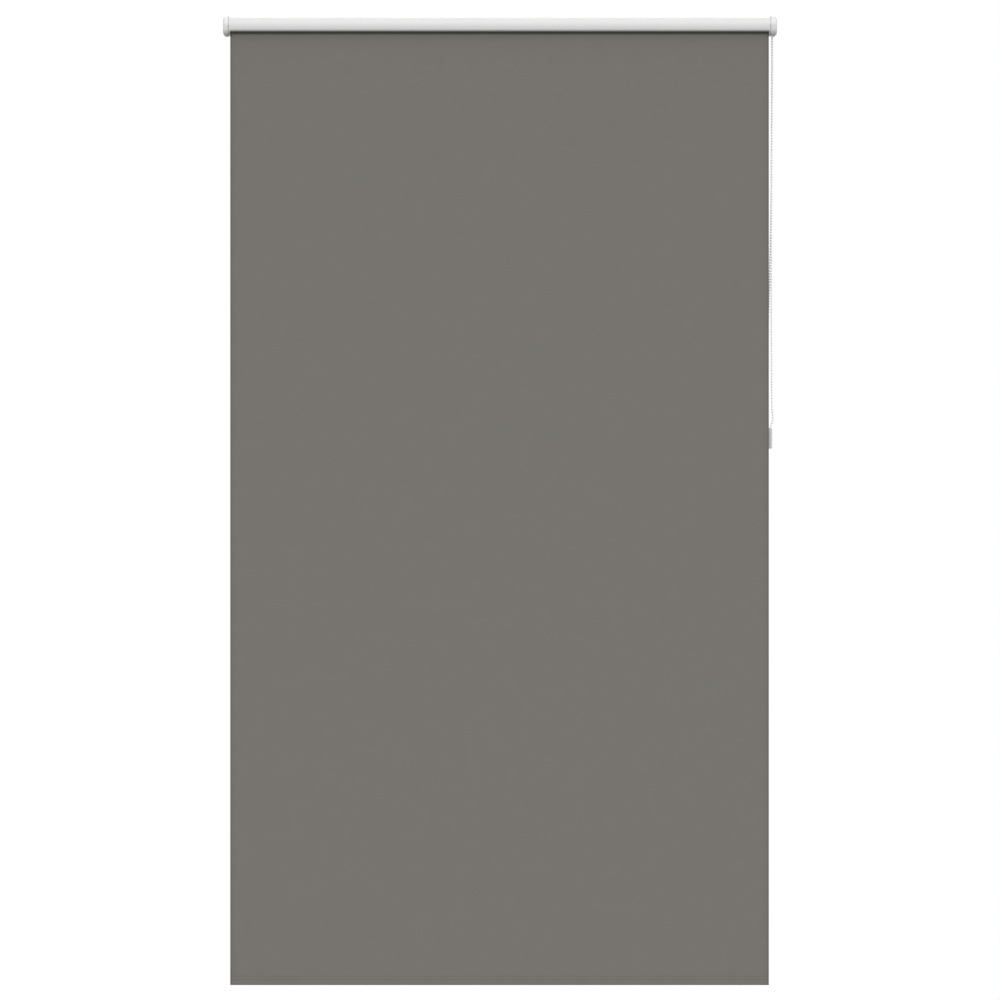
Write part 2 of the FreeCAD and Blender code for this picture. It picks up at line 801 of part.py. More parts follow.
def make_idle_end():
    bush_face = f"({LEFT_PLATE} - plate_thick)"
    bush_end = f"({LEFT} + bush_depth)"
    bush = turned("idle_bush", [
        (LEFT_PLATE, "pin_radius + run_fit"),
        (LEFT_PLATE, "bush_radius"),
        (bush_face, "bush_radius"),
        (bush_face, "bush_flange"),
        (f"{bush_face} - 1.5", "bush_flange"),
        (f"{bush_face} - 1.5", "bush_radius - 0.7"),
        (bush_end, "bush_radius - 0.7"),
        (bush_end, "0"),
        (f"{bush_end} + 0.6", "0"),
        (f"{bush_end} + 0.6", "pin_radius + run_fit"),
    ])
    keep(bush, "idle_bush")
    flange = f"({TUBE_LEFT} - flange_thick)"
    shoulder = f"({LEFT} + plug_shoulder)"
    end = f"({LEFT} + plug_end)"
    plug = turned("idle_plug", [
        (flange, "pin_radius + run_fit"),
        (flange, "flange_radius"),
        (TUBE_LEFT, "flange_radius"),
        (TUBE_LEFT, "plug_radius"),
        (f"{end} - 1.5", "plug_radius"),
        (end, "plug_radius - 1.5"),
        (end, "plug_bore"),
        (shoulder, "plug_bore"),
        (shoulder, "pin_radius + run_fit"),
    ])
    key_slot(plug, TUBE_LEFT, f"{end} - {TUBE_LEFT}")
    keep(plug, "idle_plug")
    seat = f"({end} - cap_length)"
    cap = turned("idle_plug_cap", [
        (seat, "pin_tail + run_fit"),
        (seat, "plug_bore - run_fit"),
        (end, "plug_bore - run_fit"),
        (end, "bush_flange"),
        (f"{end} + 1.5", "bush_flange"),
        (f"{end} + 1.5", "pin_tail + run_fit"),
    ])
    keep(cap, "idle_plug_cap")
    tip = f"({LEFT} + pin_tip)"
    collar = f"({LEFT} + pin_collar)"
    pin = turned("idle_pin", [
        (tip, "0"),
        (tip, "pin_radius - 0.6"),
        (f"{tip} + 0.6", "pin_radius"),
        (collar, "pin_radius"),
        (collar, "collar_radius"),
        (f"{collar} + collar_thick", "collar_radius"),
        (f"{collar} + collar_thick", "pin_tail"),
        (f"{LEFT} + pin_end", "pin_tail"),
        (f"{LEFT} + pin_end", "0"),
    ])
    keep(pin, "idle_pin")
    start = f"({collar} + collar_thick + coil_wire)"
    spring = make_coil("idle_spring", start, f"{seat} - {start} - coil_wire", "coil_radius", "coil_wire",
                       "coil_pitch")
    keep(spring, "idle_spring")


# ---- Cloth and bottom rail ----


def make_fabric_drop():
    cloth = doc.addObject("Part::Box", "fabric_drop")
    place(cloth, CLOTH_LEFT, f"{CLOTH_BACK} - cloth_thick", f"{HEM_TOP} + cloth_thick")
    bind(cloth, "Length", f"{CLOTH_RIGHT} - {CLOTH_LEFT}")
    bind(cloth, "Width", "cloth_thick")
    bind(cloth, "Height", f"-{HEM_TOP} - cloth_thick")
    keep(cloth, "fabric_drop")


def make_fabric_hem():
    """The pocket along the lower edge: the cloth runs under the bar and is welded up its own back."""
    body = new_body("fabric_hem", y=BAR_MIDDLE)
    length = f"{CLOTH_RIGHT} - {CLOTH_LEFT}"
    inner = "(bar_depth / 2 + hem_play)"
    outer = f"({inner} + cloth_thick)"
    weld_bottom = f"({HEM_TOP} - weld_height)"
    shell = new_sketch(body, "YZ_Plane", CLOTH_LEFT)
    add_outline(shell, [
        (f"-{outer}", HEM_TOP),
        (f"-{outer}", "-blind_bottom"),
        (outer, "-blind_bottom"),
        (outer, f"{weld_bottom} - hem_shoulder"),
        (f"cloth_thick - {inner}", weld_bottom),
        (f"cloth_thick - {inner}", HEM_TOP),
    ])
    pad(body, shell, length)
    hollow = new_sketch(body, "YZ_Plane", CLOTH_LEFT)
    add_outline(hollow, [
        (f"-{inner}", f"{weld_bottom} - cloth_thick"),
        (f"-{inner}", "cloth_thick - blind_bottom"),
        (inner, "cloth_thick - blind_bottom"),
        (inner, f"{weld_bottom} - hem_shoulder"),
    ])
    pocket(body, hollow, length, forwards=True)
    fillet(body, swept_corners(hollow, [1, 2]), "bar_round + hem_play")
    fillet(body, swept_corners(shell, [1, 2]), "bar_round + hem_play + cloth_thick")
    keep(body, "fabric_hem")


def bar_section(body, start, inset):
    """The rectangle of the flat bar, set in from its outside."""
    section = new_sketch(body, "YZ_Plane", start)
    half = f"(bar_depth / 2 - {inset})"
    bottom = "(cloth_thick + hem_play - blind_bottom)"
    add_outline(section, boxed_outline(f"-{half}", f"{bottom} + {inset}", half,
                                       f"{bottom} + bar_height - {inset}"))
    return section


def make_bottom_bar():
    body = new_body("bottom_bar", y=BAR_MIDDLE)
    start = f"({CLOTH_LEFT} + bar_plug_head)"
    length = f"{CLOTH_RIGHT} - bar_plug_head - {start}"
    outside = bar_section(body, start, "0")
    pad(body, outside, length)
    inside = bar_section(body, start, "bar_wall")
    pocket(body, inside, length, forwards=True)
    fillet(body, swept_corners(inside, [0, 1, 2, 3]), "bar_round - bar_wall")
    fillet(body, swept_corners(outside, [0, 1, 2, 3]), "bar_round")
    keep(body, "bottom_bar")


def make_bar_plug(label, end, sign):
    """A moulded plug that closes one end of the bar, flush with the cloth's edge."""
    body = new_body(label, y=BAR_MIDDLE)
    head = bar_section(body, end, "0")
    pad(body, head, "bar_plug_head", sign > 0)
    fillet(body, swept_corners(head, [0, 1, 2, 3]), "bar_round")
    stem = bar_section(body, end, PLUG_GRIP)
    pad(body, stem, "bar_plug_head + bar_plug_depth", sign > 0)
    fillet(body, swept_corners(stem, [0, 1, 2, 3]), f"bar_round - {PLUG_GRIP}")
    keep(body, label)


# ---- Ball chain ----


def make_chain_on_wheel():
    """The beads and thread that the wheel holds, down to the mouth of the cap."""
    middle = f"({RIGHT} - wheel_centre)"
    pieces = []
    arc = doc.addObject("Part::Torus", "thread_arc")
    arc.Placement.Rotation = FreeCAD.Rotation(FreeCAD.Vector(0, 1, 0), 90)
    place(arc, middle, "-axis_depth")
    bind(arc, "Radius1", PITCH_RADIUS)
    bind(arc, "Radius2", "thread_radius")
    pieces.append(arc)
    for name, side in (("front", "-"), ("rear", "+")):
        strand = doc.addObject("Part::Cylinder", f"thread_{name}")
        place(strand, middle, f"-axis_depth {side} {PITCH_RADIUS}", "-chain_mouth")
        bind(strand, "Radius", "thread_radius")
        bind(strand, "Height", "chain_mouth")
        pieces.append(strand)
    below = 2
    for i in range(-below, int(sheet.wheel_beads) // 2 + 1 + below):
        bead = doc.addObject("Part::Sphere", "bead")
        bind(bead, "Radius", "chain_radius")
        if i < 0:
            place(bead, middle, f"-axis_depth - {PITCH_RADIUS}", f"{i} * bead_pitch")
        elif i > sheet.wheel_beads / 2:
            place(bead, middle, f"-axis_depth + {PITCH_RADIUS}", f"(wheel_beads / 2 - {i}) * bead_pitch")
        else:
            turn = f"({i} * 360 deg / wheel_beads)"
            place(bead, middle, f"-axis_depth - {PITCH_RADIUS} * cos({turn})",
                  f"{PITCH_RADIUS} * sin({turn})")
        pieces.append(bead)
    arc.Angle3 = 180
    arc.Placement.Rotation = arc.Placement.Rotation.multiply(FreeCAD.Rotation(FreeCAD.Vector(0, 0, 1), 90))
    chain = doc.addObject("Part::MultiFuse", "chain_on_wheel")
    chain.Shapes = pieces
    keep(chain, "chain_on_wheel")


def chain_route():
    """Where the hanging loop runs: down from the front of the wheel, round in the weight, and up."""
    wheel = sheet.overall_width / 2 - sheet.wheel_centre
    pitch_radius = sheet.wheel_beads * sheet.bead_pitch / (2 * math.pi)
    front = -sheet.axis_depth - pitch_radius
    rear = -sheet.axis_depth + pitch_radius
    mouth = -sheet.chain_mouth
    right = sheet.weight_across + sheet.chain_entry / 2
    left = sheet.weight_across - sheet.chain_entry / 2
    middle = -sheet.axis_depth
    fold = -sheet.weight_top - 14
    return [
        (wheel, front, mouth),
        (590.6, -36.3, -62),
        (590.1, -36.0, -140),
        (588.8, -35.2, -250),
        (588.3, -33.9, -400),
        (587.8, -32.2, -590),
        (588.6, -30.6, -715),
        (588.9, -29.3, -785),
        (590.1, -28.2, -830),
        (591.6, -27.4, -853),
        (right, middle, -865),
        (right, middle, fold),
        (left, middle, fold),
        (left, middle, -865),
        (576.6, -26.9, -850),
        (577.3, -26.4, -815),
        (579.2, -25.4, -740),
        (581.6, -24.2, -645),
        (586.0, -22.8, -510),
        (588.3, -21.0, -370),
        (589.2, -19.3, -230),
        (589.8, -18.1, -100),
        (wheel, rear, mouth),
    ]


def rounded_path(points, share=0.45):
    """Straight runs joined by arcs that touch them, each as large as its two runs allow."""
    corners = [FreeCAD.Vector(*point) for point in points]
    edges = []
    radii = []
    last = corners[0]
    for before, corner, after in zip(corners, corners[1:], corners[2:]):
        way_in = (corner - before).normalize()
        way_out = (after - corner).normalize()
        turn = way_in.getAngle(way_out)
        reach = share * min((corner - before).Length, (after - corner).Length)
        radius = reach / math.tan(turn / 2)
        radii.append(radius)
        start = corner - way_in * reach
        end = corner + way_out * reach
        inwards = (way_out - way_in).normalize()
        middle = corner + inwards * (radius / math.cos(turn / 2) - radius)
        edges.append(Part.LineSegment(last, start).toShape())
        edges.append(Part.Arc(start, middle, end).toShape())
        last = end
    edges.append(Part.LineSegment(last, corners[-1]).toShape())
    return Part.Wire(edges), radii


def make_chain_loop():
    route = chain_route()
    path, radii = rounded_path(route)
    start = FreeCAD.Vector(*route[0])
    direction = FreeCAD.Vector(*route[1]) - start
    section = Part.Wire(Part.Circle(start, direction, sheet.chain_radius).toShape())
    tube = path.makePipeShell([section], True, False)
    loop = doc.addObject("Part::Feature", "chain_loop")
    loop.Shape = tube
    keep(loop, "chain_loop")
    wanted = math.pi * sheet.chain_radius ** 2 * path.Length
    print("chain loop radii:", " ".join(f"{radius:.1f}" for radius in radii))
    print(f"chain loop: length {path.Length:.1f}, volume {tube.Volume:.1f}, section x length {wanted:.1f}")


def make_chain_connector():
    """The sleeve that joins the chain's two ends, low on the rear strand."""
    below, above = chain_route()[15:17]
    middle = (FreeCAD.Vector(*below) + FreeCAD.Vector(*above)) * 0.5
    along = FreeCAD.Rotation(FreeCAD.Vector(1, 0, 0), FreeCAD.Vector(*above) - FreeCAD.Vector(*below))
    body = doc.addObject("PartDesign::Body", "chain_connector")
    body.Placement = FreeCAD.Placement(middle, along)
    sketch = new_sketch(body, "XZ_Plane")
    end = "(joiner_length / 2)"
    add_outline(sketch, [
        (f"-{end}", "joiner_bore"),
        (f"-{end}", "joiner_radius - 0.5"),
        (f"0.8 - {end}", "joiner_radius"),
        ("-0.6", "joiner_radius"),
        ("-0.3", "joiner_radius - 0.3"),
        ("0.3", "joiner_radius - 0.3"),
        ("0.6", "joiner_radius"),
        (f"{end} - 0.8", "joiner_radius"),
        (end, "joiner_radius - 0.5"),
        (end, "joiner_bore"),
    ])
    revolve(body, sketch)
    keep(body, "chain_connector")


def make_weight_shell(label, sign):
    """Half of the weight's casing, split along the plane of the chain's fold."""
    body = new_body(label, "weight_across", "-axis_depth", "-weight_top")
    outline = new_sketch(body, "XZ_Plane")
    add_outline(outline, boxed_outline("-weight_width / 2", "-weight_height", "weight_width / 2", "0"))
    pad(body, outline, "weight_depth / 2", sign < 0)
    fillet(body, swept_corners(outline, [0, 1, 2, 3]), "weight_round")
    fillet(body, at_level("Y", measure(f"{-sign} * weight_depth / 2")), "weight_edge")
    hollow = new_sketch(body, "XZ_Plane")
    add_outline(hollow, boxed_outline("weight_wall - weight_width / 2", "weight_wall - weight_height",
                                      "weight_width / 2 - weight_wall", "-weight_wall"))
    pocket(body, hollow, "weight_depth / 2 - weight_wall", sign > 0)
    entries = new_sketch(body, "XY_Plane", "1")
    for side in ("-", ""):
        add_circle(entries, "entry_radius", f"{side}chain_entry / 2")
    pocket(body, entries, "weight_wall + 2")
    keep(body, label)


def make_weight():
    make_weight_shell("weight_front_shell", 1)
    make_weight_shell("weight_rear_shell", -1)
    body = new_body("weight_slug", "weight_across", "-axis_depth", "-weight_top")
    play = "(weight_wall + 0.3)"
    section = new_sketch(body, "XY_Plane", "-slug_top")
    add_outline(section, boxed_outline(f"{play} - weight_width / 2", f"{play} - weight_depth / 2",
                                       f"weight_width / 2 - {play}", f"weight_depth / 2 - {play}"))
    pad(body, section, f"weight_height - slug_top - {play}", True)
    fillet(body, swept_corners(section, [0, 1, 2, 3]), "weight_wall")
    keep(body, "weight_slug")


make_back_rail()
make_fascia()
make_side_plate("left_side_plate", LEFT_PLATE, -1)
make_right_side_plate()
make_end_cover("left_end_cover", LEFT, LEFT_PLATE, -1)
make_right_end_cover()
make_wall_clip("left_wall_clip", -1)
make_wall_clip("right_wall_clip", 1)
make_clutch_core()
make_core_fixings()
make_chain_wheel()
make_wrap_springs()
make_tube_adapter()
make_screws()
make_tube()
make_cloth_on_tube()
make_idle_end()
make_fabric_drop()
make_fabric_hem()
make_bottom_bar()
make_bar_plug("bar_plug_left", CLOTH_LEFT, -1)
make_bar_plug("bar_plug_right", CLOTH_RIGHT, 1)
make_chain_on_wheel()
make_chain_loop()
make_chain_connector()
make_weight()
doc.recompute()

for thing in doc.Objects:
    if "Invalid" in thing.State or "Error" in thing.State:
        raise ValueError(f"{thing.Label} ({thing.Name}) failed: {thing.State}")
for node in nodes:
    if node.Shape.isNull() or not node.Shape.isValid():
        raise ValueError(f"{node.Label} has no valid shape")

os.makedirs("parts", exist_ok=True)
for node in nodes:
    node.Shape.exportStep(f"parts/{node.Label}.step")
    box = node.Shape.BoundBox
    print(f"{node.Label:20s} {len(node.Shape.Solids)} solid  {node.Shape.Volume:10.1f}  "
          f"x {box.XMin:.2f} {box.XMax:.2f}  y {box.YMin:.2f} {box.YMax:.2f}  z {box.ZMin:.2f} {box.ZMax:.2f}")
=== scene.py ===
import math
import bmesh
import bpy
import numpy as np
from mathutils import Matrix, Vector


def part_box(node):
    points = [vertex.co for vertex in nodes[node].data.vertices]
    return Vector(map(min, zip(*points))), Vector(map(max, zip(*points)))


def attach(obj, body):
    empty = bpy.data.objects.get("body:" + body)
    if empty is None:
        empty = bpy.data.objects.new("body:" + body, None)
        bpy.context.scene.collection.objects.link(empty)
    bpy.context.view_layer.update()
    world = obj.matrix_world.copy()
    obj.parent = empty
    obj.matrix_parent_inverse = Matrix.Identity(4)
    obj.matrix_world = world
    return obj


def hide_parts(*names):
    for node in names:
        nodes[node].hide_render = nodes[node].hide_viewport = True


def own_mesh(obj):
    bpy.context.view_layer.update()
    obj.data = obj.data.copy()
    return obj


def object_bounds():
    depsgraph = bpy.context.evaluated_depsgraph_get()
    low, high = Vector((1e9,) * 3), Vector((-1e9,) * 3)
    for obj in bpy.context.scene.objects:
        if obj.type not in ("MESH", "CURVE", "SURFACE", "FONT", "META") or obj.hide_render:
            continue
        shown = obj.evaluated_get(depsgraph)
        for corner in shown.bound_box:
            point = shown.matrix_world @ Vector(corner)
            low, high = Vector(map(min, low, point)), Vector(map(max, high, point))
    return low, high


# The roller blind, lowered, seen straight from the front. Everything is in metres.

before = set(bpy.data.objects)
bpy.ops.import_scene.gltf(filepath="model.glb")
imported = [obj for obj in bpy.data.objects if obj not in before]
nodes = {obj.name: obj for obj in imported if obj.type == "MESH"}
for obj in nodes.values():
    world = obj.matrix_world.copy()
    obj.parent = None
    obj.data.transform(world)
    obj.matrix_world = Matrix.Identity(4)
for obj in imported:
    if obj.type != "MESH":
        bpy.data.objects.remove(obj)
cad_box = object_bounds()

# ---- Places, from the frame ----

MM = 0.001
drop_low, drop_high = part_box("fabric_drop")
hem_low, hem_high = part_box("fabric_hem")
bar_low, bar_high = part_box("bottom_bar")
tube_low, tube_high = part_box("tube")
roll_low, roll_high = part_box("fabric_roll")

cloth_thick = drop_high.y - drop_low.y
cloth_y = (drop_high.y + drop_low.y) / 2
cloth_left = drop_low.x
cloth_right = drop_high.x
axis_y = (tube_low.y + tube_high.y) / 2
axis_z = (tube_low.z + tube_high.z) / 2
axis_line = (axis_y, axis_z)
tube_radius = (tube_high.z - tube_low.z) / 2
roll_radius = (roll_high.z - roll_low.z) / 2
hem_top = hem_high.z
hem_bottom = hem_low.z


# ---- Camera, lights and floor ----

FRAME_WIDTH = 2.1665
CAMERA_DISTANCE = 16.0
CAMERA_RISE = 0.0009
SENSOR = 36.0
BACKDROP_LIGHT = 1.0
AMBIENT_LIGHT = 0.24
FLOOR_DROP = 0.30
FLOOR_FRONT, FLOOR_REAR, FLOOR_SIDE = 3.2, 1.8, 3.2

# Elevation, counted from straight in front up and over the top, strength, softness in degrees,
# and degrees to the right of straight on.
SUNS = {
    "key_left": (34.3, 0.75, 14, -25),
    "key_right": (34.3, 0.75, 14, 25),
    "overhead": (68, 0.85, 40, 0),
    "rear_fill": (160, 1.5, 60, 0),
    "side_left": (6, 0.7, 50, -90),
    "side_right": (6, 0.7, 50, 90),
}


def make_camera():
    """Straight from the front, level with the blind's middle."""
    data = bpy.data.cameras.new("camera")
    data.sensor_width = SENSOR
    data.lens = SENSOR * CAMERA_DISTANCE / FRAME_WIDTH
    data.clip_end = 50
    camera = bpy.data.objects.new("camera", data)
    low, high = cad_box
    camera.location = (0, cloth_y - CAMERA_DISTANCE, (low[2] + high[2]) / 2 + CAMERA_RISE)
    camera.rotation_euler = (math.radians(90), 0, 0)
    bpy.context.scene.collection.objects.link(camera)
    bpy.context.scene.camera = camera


def make_sun(name, elevation, strength, spread, aside):
    """A soft light, parallel all over the blind."""
    data = bpy.data.lights.new(name, "SUN")
    data.energy = strength
    data.angle = math.radians(spread)
    sun = bpy.data.objects.new(name, data)
    sun.rotation_euler = (math.radians(90 - elevation), 0, math.radians(aside))
    bpy.context.scene.collection.objects.link(sun)


def make_world():
    """White behind the blind, and an even, dimmer light from all round."""
    world = bpy.data.worlds.new("studio")
    world.use_nodes = True
    tree = world.node_tree
    tree.nodes.clear()
    path = tree.nodes.new("ShaderNodeLightPath")
    light = tree.nodes.new("ShaderNodeBackground")
    light.inputs["Color"].default_value = (1, 1, 1, 1)
    light.inputs["Strength"].default_value = AMBIENT_LIGHT
    backdrop = tree.nodes.new("ShaderNodeBackground")
    backdrop.inputs["Color"].default_value = (1, 1, 1, 1)
    backdrop.inputs["Strength"].default_value = BACKDROP_LIGHT
    mix = tree.nodes.new("ShaderNodeMixShader")
    output = tree.nodes.new("ShaderNodeOutputWorld")
    tree.links.new(path.outputs["Is Camera Ray"], mix.inputs[0])
    tree.links.new(light.outputs[0], mix.inputs[1])
    tree.links.new(backdrop.outputs[0], mix.inputs[2])
    tree.links.new(mix.outputs[0], output.inputs[0])
    bpy.context.scene.world = world


# ---- Materials ----

WHITE = (0.83, 0.83, 0.825)
CLOTH_COLOUR = (0.2295, 0.2178, 0.1947)
YARN = 0.55 * MM
# Weld width and tone: along each weld line the cloth is pushed in and darker, partly the weld's own tone and
# partly painted shade of its groove. The same width and tone make the band of painted shade at the hem's
# fold.
WELD_AND_SHADE_WIDTH = 1.8 * MM
WELDS = (2.8 * MM, 10.4 * MM)
# Painted shade: a dark band along the hem's bottom fold, where the cloth turns under the bar.
HEM_FOLD_SHADE = 21.4 * MM
WELD_AND_SHADE_TONE = 0.84

# How far in from the cloth's side edges each dark band starts and ends, and its tone.
EDGE_DARK_BANDS = ((3.6 * MM, 2.8 * MM, 0.84), (14 * MM, 3 * MM, 0.94))


def new_material(name, colour, roughness, metallic=0.0):
    material = bpy.data.materials.new(name)
    material.use_nodes = True
    tree = material.node_tree
    shader = tree.nodes["Principled BSDF"]
    shader.inputs["Base Color"].default_value = (*colour, 1)
    shader.inputs["Roughness"].default_value = roughness
    shader.inputs["Metallic"].default_value = metallic
    return material, tree, shader


def adjust(material, values):
    shader = material.node_tree.nodes["Principled BSDF"]
    for name, value in values.items():
        shader.inputs[name].default_value = value


def add(tree, kind, inputs=None, **settings):
    """A node with its settings, whose inputs are values or other nodes' outputs."""
    node = tree.nodes.new(kind)
    for name, value in settings.items():
        setattr(node, name, value)
    for name, value in (inputs or {}).items():
        if isinstance(value, bpy.types.NodeSocket):
            tree.links.new(value, node.inputs[name])
        else:
            node.inputs[name].default_value = value
    return node


def maths(tree, operation, first, second=0.0):
    return add(tree, "ShaderNodeMath", {0: first, 1: second}, operation=operation).outputs[0]


def place_of(tree, stretch=(1, 1, 1), source="Object"):
    """The point on the piece, in metres, with each axis multiplied by stretch."""
    coordinates = add(tree, "ShaderNodeTexCoord").outputs[source]
    return add(tree, "ShaderNodeMapping", {"Vector": coordinates, "Scale": stretch}).outputs[0]


def noise(tree, vector, scale, detail=2.0, roughness=0.5):
    texture = add(tree, "ShaderNodeTexNoise",
                  {"Vector": vector, "Scale": scale, "Detail": detail, "Roughness": roughness})
    return texture.outputs[0]


def ranged(tree, value, start, end, first, last):
    """The value, which goes from start to end, turned into one that goes from first to last."""
    return add(tree, "ShaderNodeMapRange", {"Value": value, "From Min": start, "From Max": end,
                                            "To Min": first, "To Max": last}).outputs[0]


def between(tree, factor, low, high):
    """The factor, from 0.3 to 0.7 as noise gives it, spread from low to high."""
    return ranged(tree, factor, 0.3, 0.7, low, high)


def shade(tree, shader, factor, dark, light):
    mix = add(tree, "ShaderNodeMix", {"Factor": factor, "A": (*dark, 1), "B": (*light, 1)},
              data_type="RGBA")
    tree.links.new(mix.outputs["Result"], shader.inputs["Base Color"])


def emboss(tree, shader, height, distance, strength=1.0):
    bump = add(tree, "ShaderNodeBump", {"Height": height, "Distance": distance, "Strength": strength})
    tree.links.new(bump.outputs[0], shader.inputs["Normal"])


def tinted(colour, factor):
    return tuple(min(1.0, part * factor) for part in colour)


def grained(name, colour, roughness, grain, depth, metallic=0.0, stretch=(1, 1, 1), spread=0.03,
            gloss_spread=0.05):
    """A finish with a fine grain in relief, and slow changes of tone and gloss."""
    material, tree, shader = new_material(name, colour, roughness, metallic)
    vector = place_of(tree, stretch)
    slow = noise(tree, vector, grain / 40, 3.0)
    shade(tree, shader, between(tree, slow, 0, 1), tinted(colour, 1 - spread), tinted(colour, 1 + spread))
    gloss = between(tree, noise(tree, vector, grain / 12, 2.0), roughness - gloss_spread,
                    roughness + gloss_spread)
    tree.links.new(gloss, shader.inputs["Roughness"])
    emboss(tree, shader, noise(tree, vector, grain, 2.0), depth)
    return material


def make_cloth(name, colour, source="Object", up="Z", welds_and_shade_lines=()):
    """A plain weave of round yarns, a little uneven, with painted shade in its hollows, darker in bands near
    its side edges, and darker along the given weld and painted shade lines.
    """
    material, tree, shader = new_material(name, colour, 0.85)
    coordinates = add(tree, "ShaderNodeTexCoord").outputs[source]
    split = add(tree, "ShaderNodeSeparateXYZ", {0: coordinates})
    across, along = split.outputs["X"], split.outputs[up]
    wander = noise(tree, coordinates, 220.0, 2.0)
    shift = between(tree, wander, -0.35, 0.35)
    warp = maths(tree, "ADD", maths(tree, "DIVIDE", across, YARN), shift)
    weft = maths(tree, "ADD", maths(tree, "DIVIDE", along, YARN), shift)
    count = maths(tree, "ADD", maths(tree, "FLOOR", warp), maths(tree, "FLOOR", weft))
    over = maths(tree, "MULTIPLY", maths(tree, "FRACT", maths(tree, "MULTIPLY", count, 0.5)), 2.0)
    crowns = []
    for thread, other in ((warp, weft), (weft, warp)):
        width = maths(tree, "ABSOLUTE", maths(tree, "SINE", maths(tree, "MULTIPLY", thread, math.pi)))
        arch = maths(tree, "ABSOLUTE", maths(tree, "SINE", maths(tree, "MULTIPLY", other, math.pi)))
        raised = maths(tree, "ADD", maths(tree, "MULTIPLY", arch, 0.6), 0.4)
        crowns.append(maths(tree, "MULTIPLY", width, raised))
    relief = add(tree, "ShaderNodeMix", {"Factor": over, "A": crowns[0], "B": crowns[1]}, data_type="FLOAT")
    height = relief.outputs["Result"]
    fibre = noise(tree, coordinates, 5200.0, 2.0)
    mottle = between(tree, noise(tree, coordinates, 26.0, 4.0, 0.6), 0.985, 1.015)
    # Painted shade: the weave is darker in its hollows and lighter on its crowns. The slow mottle and the
    # fine fibre noise are the yarn's own uneven tone.
    tone = maths(tree, "MULTIPLY", maths(tree, "ADD", maths(tree, "MULTIPLY", height, 0.16), 0.91), mottle)
    tone = maths(tree, "MULTIPLY", tone, between(tree, fibre, 0.97, 1.03))
    middle = (cloth_left + cloth_right) / 2
    half = (cloth_right - cloth_left) / 2
    aside = maths(tree, "ABSOLUTE", maths(tree, "SUBTRACT", across, middle))
    # The cloth is darker in bands near its side edges.
    for inner, outer, darkest in EDGE_DARK_BANDS:
        edge_dark = ranged(tree, aside, half - inner, half - outer, 1.0, darkest)
        tone = maths(tree, "MULTIPLY", tone, edge_dark)
    # Darker along each given line: at a weld, its own tone with painted shade of its groove; at the hem's
    # fold, painted shade.
    for place in welds_and_shade_lines:
        away = maths(tree, "ABSOLUTE", maths(tree, "SUBTRACT", along, place))
        weld_and_shade_tone = ranged(tree, away, WELD_AND_SHADE_WIDTH * 0.35, WELD_AND_SHADE_WIDTH * 0.6, WELD_AND_SHADE_TONE, 1.0)
        tone = maths(tree, "MULTIPLY", tone, weld_and_shade_tone)
    tint = add(tree, "ShaderNodeMix", {"Factor": 1.0, "A": (*colour, 1)}, data_type="RGBA",
               blend_type="MULTIPLY")
    grey = add(tree, "ShaderNodeCombineColor", {0: tone, 1: tone, 2: tone})
    tree.links.new(grey.outputs[0], tint.inputs["B"])
    tree.links.new(tint.outputs["Result"], shader.inputs["Base Color"])
    emboss(tree, shader, maths(tree, "ADD", height, maths(tree, "MULTIPLY", fibre, 0.3)), 0.00005, 0.5)
    shader.inputs["Sheen Weight"].default_value = 0.08
    shader.inputs["Sheen Roughness"].default_value = 0.5
    return material


powder_coat = grained("powder_coat", WHITE, 0.5, 900.0, 0.00003, spread=0.008)
adjust(powder_coat, {"Specular IOR Level": 0.3})
white_plastic = grained("white_plastic", (0.88, 0.88, 0.875), 0.5, 2600.0, 0.00002, spread=0.01)
grey_plastic = grained("grey_plastic", (0.30, 0.30, 0.31), 0.45, 2600.0, 0.00002)
# Painted light: the beads have a faint glow of their own, so they look brighter than the lamps alone make
# them.
glowing_bead_plastic = grained("glowing_bead_plastic", (0.95, 0.95, 0.94), 0.35, 1800.0, 0.00001, spread=0.02)
adjust(glowing_bead_plastic, {"Subsurface Weight": 0.9, "Subsurface Radius": (1, 1, 1), "Subsurface Scale": 0.004,
                      "Emission Color": (1, 1, 1, 1), "Emission Strength": 0.09})
zinc_steel = grained("zinc_steel", (0.60, 0.60, 0.61), 0.35, 3000.0, 0.00001, metallic=1.0, spread=0.06)
spring_steel = grained("spring_steel", (0.34, 0.34, 0.35), 0.38, 2600.0, 0.00001, metallic=1.0,
                       stretch=(0.08, 1, 1), spread=0.08)
mill_aluminium = grained("mill_aluminium", (0.78, 0.78, 0.79), 0.33, 4000.0, 0.00001, metallic=1.0,
                         stretch=(0.01, 1, 1), spread=0.04)
tape_film = grained("tape_film", (0.70, 0.69, 0.62), 0.30, 1200.0, 0.00002)
hanging_cloth = make_cloth("hanging_cloth", CLOTH_COLOUR)
wound_cloth = make_cloth("wound_cloth", CLOTH_COLOUR, source="UV", up="Y")
# The hem's cloth is darker along its weld lines, and along a band of painted shade at its bottom fold.
hem_cloth = make_cloth("hem_cloth", CLOTH_COLOUR, source="UV", up="Y", welds_and_shade_lines=(*WELDS, HEM_FOLD_SHADE))

NODE_MATERIALS = {
    powder_coat: ("fascia", "back_rail"),
    white_plastic: ("left_side_plate", "right_side_plate", "left_end_cover", "right_end_cover",
                    "weight_front_shell", "weight_rear_shell", "chain_wheel"),
    grey_plastic: ("idle_bush", "clutch_core", "tube_adapter", "idle_plug", "idle_plug_cap",
                   "bar_plug_left", "bar_plug_right"),
    glowing_bead_plastic: ("chain_on_wheel", "chain_connector"),
    zinc_steel: ("end_plate_screws", "clutch_screws", "core_washer", "core_screw", "weight_slug",
                 "idle_pin"),
    spring_steel: ("left_wall_clip", "right_wall_clip", "wrap_springs", "idle_spring"),
    mill_aluminium: ("tube", "bottom_bar"),
    tape_film: ("tube_tape",),
}

